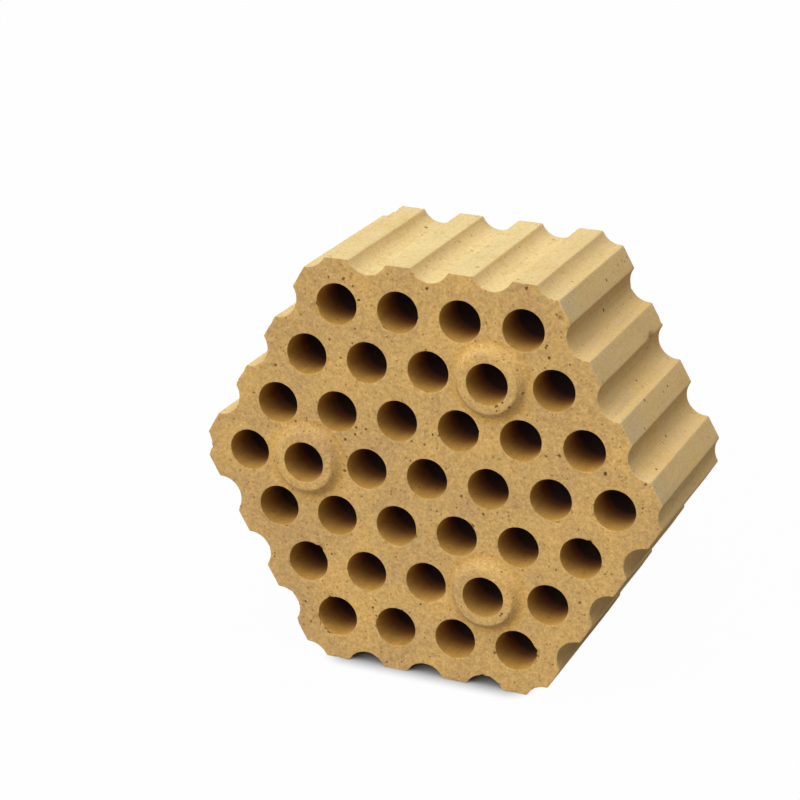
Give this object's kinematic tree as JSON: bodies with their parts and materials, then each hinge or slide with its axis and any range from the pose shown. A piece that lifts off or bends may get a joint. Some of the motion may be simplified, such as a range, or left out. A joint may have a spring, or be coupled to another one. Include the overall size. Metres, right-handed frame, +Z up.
{
  "type": "checker brick",
  "caption": "Hexagonal fireclay checker brick with round through channels, half-round side grooves and ring bosses that locate the next course of a heat regenerator.",
  "frame": {"origin": "on the floor under the middle of the brick's bounding box", "axes": "+Z up as the brick stands on one of its six sides; the channels run along Y and the bosses face -Y; X runs to the right seen from the boss face"},
  "size_m": [0.2498, 0.105, 0.2231],
  "materials": {
    "fireclay": "matt fired fireclay with fine grog and dark iron specks"
  },
  "bodies": {
    "root": {"checker_brick": "fireclay"}
  },
  "joints": []
}
